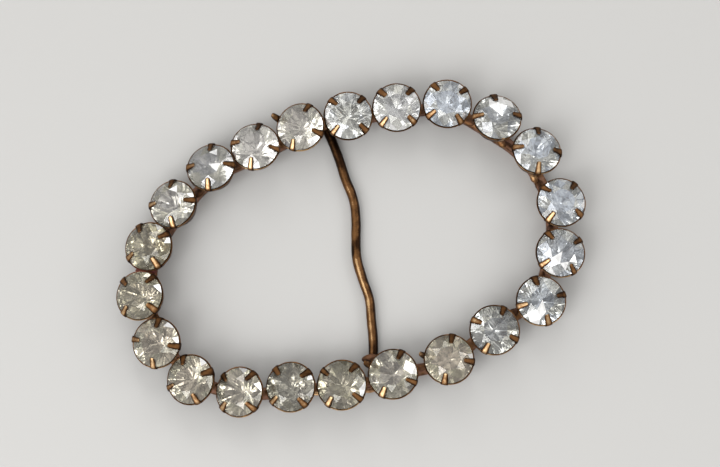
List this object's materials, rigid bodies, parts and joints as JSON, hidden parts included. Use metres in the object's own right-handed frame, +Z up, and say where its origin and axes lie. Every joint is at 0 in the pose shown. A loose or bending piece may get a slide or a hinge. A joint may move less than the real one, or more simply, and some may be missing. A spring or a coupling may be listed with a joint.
{
  "type": "rhinestone buckle",
  "caption": "Oval slide buckle of round cut glass stones in four-claw cups on a flat-backed brass rail, with one bent wire bar across the middle for a ribbon.",
  "frame": {"origin": "on the flat back that the buckle rests on, under the middle of its outline", "axes": "+X along the buckle's length, +Y across it along the ribbon bar, +Z up through the stones' tables"},
  "size_m": [0.0486, 0.0356, 0.0052],
  "materials": {
    "aged_brass": "aged, dark brown in the hollows and rubbed to gold on the high spots",
    "foiled_glass": "cut and polished, silvered behind, slightly hazy"
  },
  "bodies": {
    "root": {"frame": "aged_brass", "stone_01": "foiled_glass", "stone_02": "foiled_glass", "stone_03": "foiled_glass", "stone_04": "foiled_glass", "stone_05": "foiled_glass", "stone_06": "foiled_glass", "stone_07": "foiled_glass", "stone_08": "foiled_glass", "stone_09": "foiled_glass", "stone_10": "foiled_glass", "stone_11": "foiled_glass", "stone_12": "foiled_glass", "stone_13": "foiled_glass", "stone_14": "foiled_glass", "stone_15": "foiled_glass", "stone_16": "foiled_glass", "stone_17": "foiled_glass", "stone_18": "foiled_glass", "stone_19": "foiled_glass", "stone_20": "foiled_glass", "stone_21": "foiled_glass", "stone_22": "foiled_glass"}
  },
  "joints": []
}
